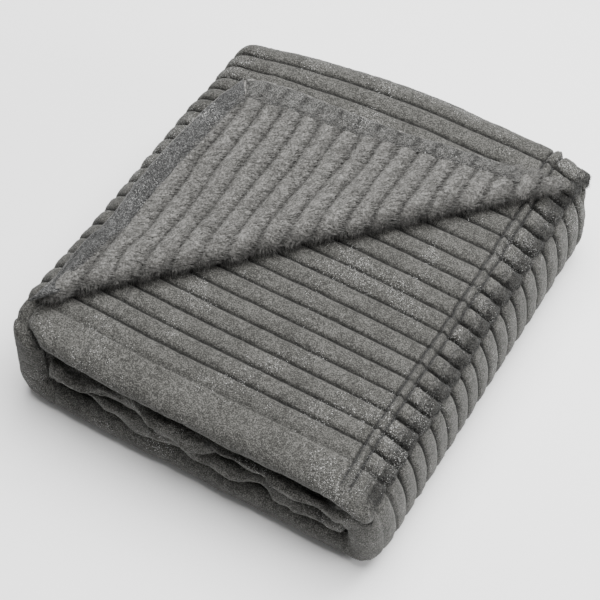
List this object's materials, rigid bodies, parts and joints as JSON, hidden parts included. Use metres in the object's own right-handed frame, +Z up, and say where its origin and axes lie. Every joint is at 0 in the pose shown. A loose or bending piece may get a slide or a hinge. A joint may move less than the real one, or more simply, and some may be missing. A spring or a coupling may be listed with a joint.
{
  "type": "folded throw blanket",
  "caption": "Ribbed plush throw blanket, folded into a thick rectangular stack with one top corner turned back on the diagonal.",
  "frame": {"origin": "centre of the bottom of the folded stack, on the surface it rests on", "axes": "+Z up through the stack, +X along the ribs towards the open right side with the side hem, -Y towards the front where the cut ends of the cloth show"},
  "size_m": [0.368, 0.388, 0.1374],
  "materials": {
    "plush_face": "matte",
    "plush_back": "matte",
    "hem_plush": "matte",
    "thread": "satin"
  },
  "bodies": {
    "wrap": {"wrap_face_ply": "plush_face", "wrap_second_ply": "plush_face", "wrap_third_ply": "plush_face", "wrap_fourth_ply": "plush_face", "wrap_outer_back_loop": "plush_face", "wrap_inner_back_loop": "plush_face", "wrap_front_loop": "plush_face", "wrap_face_front_hem": "hem_plush", "wrap_second_front_hem": "hem_plush", "wrap_end_hem": "hem_plush"},
    "left_fold": {"left_face_ply": "plush_face", "left_second_ply": "plush_face", "left_third_ply": "plush_face", "left_fourth_ply": "plush_face", "left_outer_back_loop": "plush_face", "left_inner_back_loop": "plush_face", "left_front_loop": "plush_face", "left_face_front_hem": "hem_plush", "left_second_front_hem": "hem_plush"},
    "top_third": {"top_face_ply": "plush_face", "top_second_ply": "plush_face", "top_third_ply": "plush_face", "top_fourth_ply": "plush_face", "top_outer_back_loop": "plush_face", "top_inner_back_loop": "plush_face", "top_front_loop": "plush_face", "top_second_front_hem": "hem_plush", "top_face_side_hem": "hem_plush", "top_second_side_hem": "hem_plush", "top_lower_side_hem": "hem_plush", "side_hem_stitching": "thread"},
    "corner": {"corner_flap": "plush_back", "corner_fold_roll": "plush_back", "corner_side_hem": "hem_plush", "corner_front_hem": "hem_plush", "corner_hem_stitching": "thread"}
  },
  "joints": [
    {"name": "left_fold_opens", "type": "hinge", "parent": "wrap", "child": "left_fold", "pos_m": [-0.176, 0, 0.008], "axis": [0, -1, 0], "range_deg": [0, 90]},
    {"name": "top_third_opens", "type": "hinge", "parent": "left_fold", "child": "top_third", "pos_m": [-0.171, 0, 0.126], "axis": [0, -1, 0], "range_deg": [0, 90]},
    {"name": "corner_turns_out", "type": "hinge", "parent": "top_third", "child": "corner", "pos_m": [0, -0.001, 0.12755], "axis": [0.716, 0.6981, 0], "range_deg": [0, 180], "deforming": ["corner_fold_roll"]}
  ],
  "couplings": [
    {"joint": "top_third_opens", "follows": "left_fold_opens", "ratio": 1}
  ]
}
